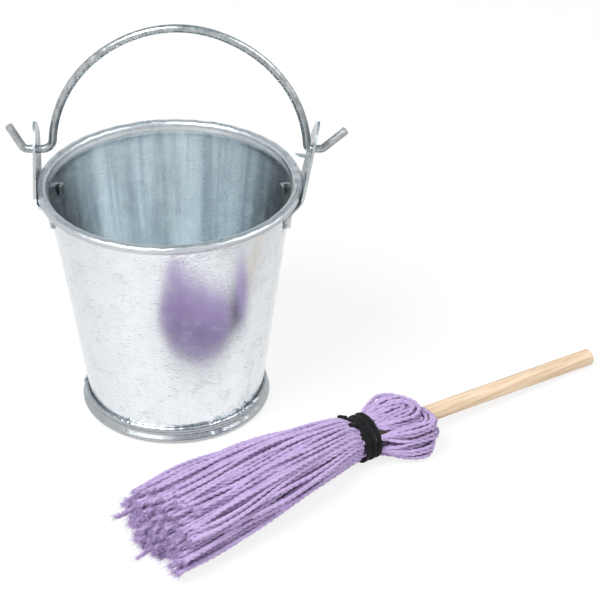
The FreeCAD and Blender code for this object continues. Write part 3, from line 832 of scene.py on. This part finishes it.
# what mirror reflections see overhead, how high it starts and how uneven its edge is
CEILING = (0.39, 0.475, 0.515, 1)
CEILING_LEVEL, PANEL_SCALE, PANEL_SHARE = 0.42, 3.2, -0.55
# name, place, size in metres and power in watts
LIGHTS = (("key", (-0.25, -0.30, 0.55), 0.30, 4.4), ("fill", (0.45, -0.10, 0.40), 0.30, 1.2))
CAMERA_LENS, CAMERA_ELEVATION, CAMERA_DISTANCE = 145.3, 32.09, 0.500
CAMERA_TARGET = (0.0258, 0.0043, 0.020)


def stage():
    """Floor, world, light and camera. Mirror reflections see a darker ceiling than the white
    background, and a darker floor beside the bucket."""
    mesh = bpy.data.meshes.new("floor")
    reach = FLOOR_REACH
    corners = [(-reach, -reach, 0), (reach, -reach, 0), (reach, reach, 0), (-reach, reach, 0)]
    mesh.from_pydata(corners, [], [(0, 1, 2, 3)])
    floor = bpy.data.objects.new("floor", mesh)
    floor.location.z = -0.02 * MM
    bpy.context.scene.collection.objects.link(floor)
    paper = Nodes("floor_paper")
    tree = paper.tree
    plain = paper.add("BsdfDiffuse")
    plain.inputs["Color"].default_value = (0.86, 0.86, 0.86, 1)
    bright = paper.add("Emission")
    bright.inputs["Color"].default_value = (1, 1, 1, 1)
    rays = paper.add("LightPath")
    seen = paper.math("MAXIMUM", rays.outputs["Is Camera Ray"], rays.outputs["Is Glossy Ray"])
    seen = paper.math("MAXIMUM", seen, rays.outputs["Is Transmission Ray"])
    mix = paper.add("MixShader")
    paper.link(paper.math("MULTIPLY", seen, FLOOR_GLOW), mix.inputs["Fac"])
    paper.link(plain.outputs["BSDF"], mix.inputs[1])
    paper.link(bright.outputs["Emission"], mix.inputs[2])
    across = paper.add("SeparateXYZ")
    paper.link(paper.coordinates("object"), across.inputs["Vector"])
    right = paper.spread(across.outputs["X"], *RIGHT_SHADE)
    left = paper.spread(across.outputs["X"], *LEFT_SHADE)
    dim = paper.math("SUBTRACT", 1.0, paper.math("MINIMUM", right, left))
    dim = paper.math("MULTIPLY", dim, rays.outputs["Is Glossy Ray"])
    paper.link(paper.math("SUBTRACT", 1.0, dim), bright.inputs["Strength"])
    tree.links.new(mix.outputs["Shader"], tree.nodes["Material Output"].inputs["Surface"])
    mesh.materials.append(paper.material)

    world = bpy.data.worlds.new("studio")
    bpy.context.scene.world = world
    world.use_nodes = True
    tree = world.node_tree
    back = tree.nodes["Background"]
    rays = tree.nodes.new("ShaderNodeLightPath")
    seen = tree.nodes.new("ShaderNodeMath")
    seen.operation = "MAXIMUM"
    tree.links.new(rays.outputs["Is Camera Ray"], seen.inputs[0])
    tree.links.new(rays.outputs["Is Glossy Ray"], seen.inputs[1])
    any_of = tree.nodes.new("ShaderNodeMath")
    any_of.operation = "MAXIMUM"
    tree.links.new(seen.outputs["Value"], any_of.inputs[0])
    tree.links.new(rays.outputs["Is Transmission Ray"], any_of.inputs[1])
    strength = tree.nodes.new("ShaderNodeMapRange")
    strength.inputs["To Min"].default_value = WORLD_LIGHT
    strength.inputs["To Max"].default_value = WORLD_WHITE
    tree.links.new(any_of.outputs["Value"], strength.inputs["Value"])
    tree.links.new(strength.outputs["Result"], back.inputs["Strength"])
    ways = tree.nodes.new("ShaderNodeTexCoord")
    parts = tree.nodes.new("ShaderNodeSeparateXYZ")
    tree.links.new(ways.outputs["Generated"], parts.inputs["Vector"])
    panels = tree.nodes.new("ShaderNodeTexNoise")
    panels.inputs["Scale"].default_value = PANEL_SCALE
    panels.inputs["Detail"].default_value = 1.0
    tree.links.new(ways.outputs["Generated"], panels.inputs["Vector"])
    level = tree.nodes.new("ShaderNodeMath")
    level.operation = "MULTIPLY_ADD"
    level.inputs[1].default_value = PANEL_SHARE
    tree.links.new(panels.outputs["Fac"], level.inputs[0])
    tree.links.new(parts.outputs["Z"], level.inputs[2])
    ceiling = tree.nodes.new("ShaderNodeValToRGB")
    ceiling.color_ramp.elements[0].position = 0.0
    ceiling.color_ramp.elements[0].color = (1, 1, 1, 1)
    ceiling.color_ramp.elements[1].position = CEILING_LEVEL
    ceiling.color_ramp.elements[1].color = CEILING
    tree.links.new(level.outputs["Value"], ceiling.inputs["Fac"])
    shown = tree.nodes.new("ShaderNodeMixRGB")
    shown.inputs["Color1"].default_value = (1, 1, 1, 1)
    tree.links.new(rays.outputs["Is Glossy Ray"], shown.inputs["Fac"])
    tree.links.new(ceiling.outputs["Color"], shown.inputs["Color2"])
    tree.links.new(shown.outputs["Color"], back.inputs["Color"])

    for name, place, size, power in LIGHTS:
        light = bpy.data.lights.new(name, "AREA")
        light.size = size
        light.energy = power
        lamp = bpy.data.objects.new(name, light)
        lamp.location = place
        lamp.rotation_euler = (-Vector(place)).to_track_quat("-Z", "Y").to_euler()
        bpy.context.scene.collection.objects.link(lamp)

    camera = bpy.data.cameras.new("camera")
    camera.sensor_width = 36.0
    camera.lens = CAMERA_LENS
    camera.clip_start, camera.clip_end = 0.01, 20.0
    holder = bpy.data.objects.new("camera", camera)
    elevation = math.radians(CAMERA_ELEVATION)
    back_away = Vector((0, -math.cos(elevation), math.sin(elevation)))
    holder.location = Vector(CAMERA_TARGET) + back_away * CAMERA_DISTANCE
    holder.rotation_euler = (math.pi / 2 - elevation, 0, 0)
    bpy.context.scene.collection.objects.link(holder)
    bpy.context.scene.camera = holder
    bpy.context.scene.view_settings.view_transform = "Standard"


stage()
bucket_wall()
base_pan()
for ear in ("left_ear", "right_ear"):
    dress(ear, EAR_TIN)
dress("bail", WIRE)
dress("stick", WOOD)
ear_tongue()
mop_yarn()
band_cord()
